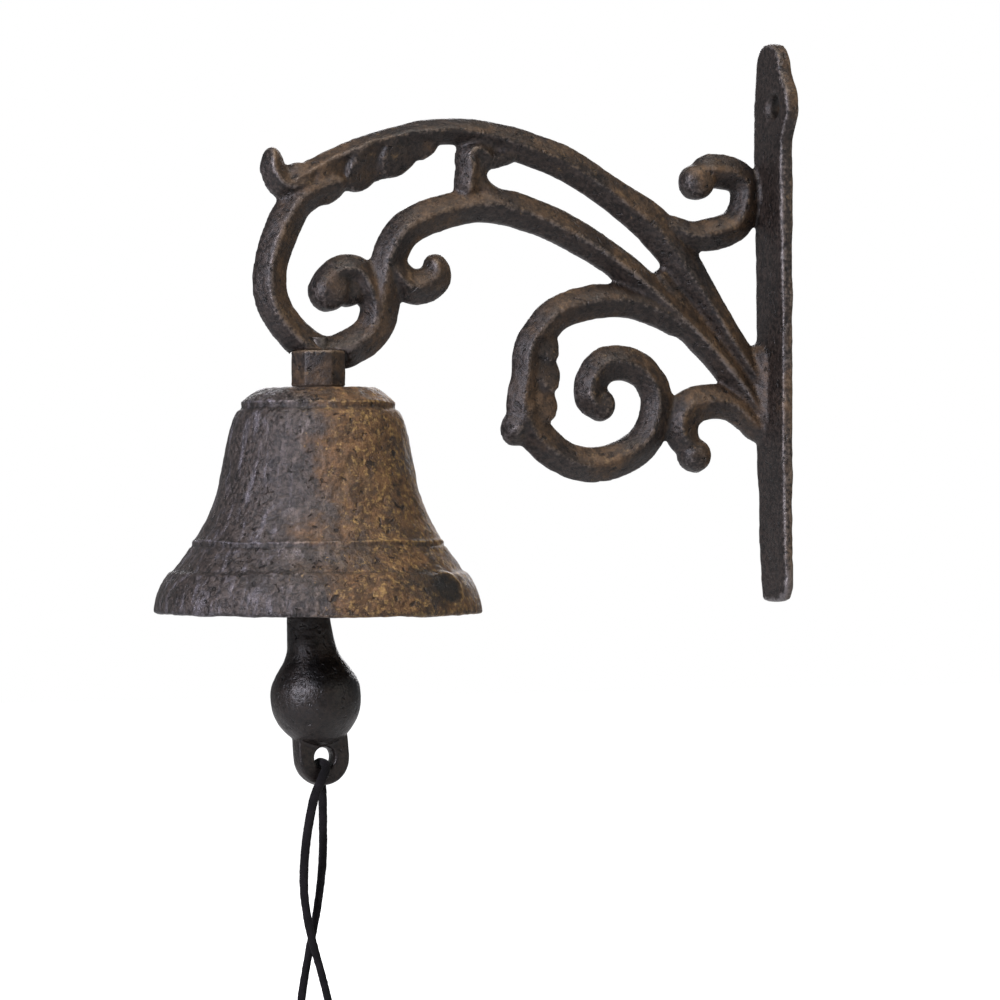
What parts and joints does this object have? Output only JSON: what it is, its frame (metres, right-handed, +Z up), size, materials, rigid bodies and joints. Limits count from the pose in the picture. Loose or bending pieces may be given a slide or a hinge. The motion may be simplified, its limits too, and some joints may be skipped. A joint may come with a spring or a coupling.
{
  "type": "wall bell",
  "caption": "Flared cast iron bell hung under the end of a scrolled wall bracket, with a swinging clapper and a doubled pull cord.",
  "frame": {"origin": "middle of the wall plate's height and width, on its back face that lies on the wall", "axes": "+Z up along the wall plate; -X out of the wall along the arm; +Y towards the arm's flat back"},
  "size_m": [0.179, 0.0875, 0.3421],
  "materials": {
    "bracket_iron": "rough",
    "bell_iron": "rough, rusted in patches",
    "clapper_iron": "satin",
    "steel": "dull",
    "cord": "woven"
  },
  "bodies": {
    "bracket_and_bell": {"bracket": "bracket_iron", "hex_nut": "bracket_iron", "bell": "bell_iron", "eye_bolt": "steel", "crown_washer": "steel", "lock_nut": "steel"},
    "hook": {"hook": "steel"},
    "clapper": {"clapper": "clapper_iron", "front_strand": "cord", "rear_strand": "cord", "end_knot": "cord"}
  },
  "joints": [
    {"name": "hook_swing", "type": "hinge", "parent": "bracket_and_bell", "child": "hook", "pos_m": [-0.1352, 0.00475, -0.03595], "axis": [0, 1, 0], "range_deg": [-30, 30]},
    {"name": "clapper_swing", "type": "hinge", "parent": "hook", "child": "clapper", "pos_m": [-0.1352, 0.00475, -0.04795], "axis": [1, 0, 0], "range_deg": [-12, 12]}
  ]
}
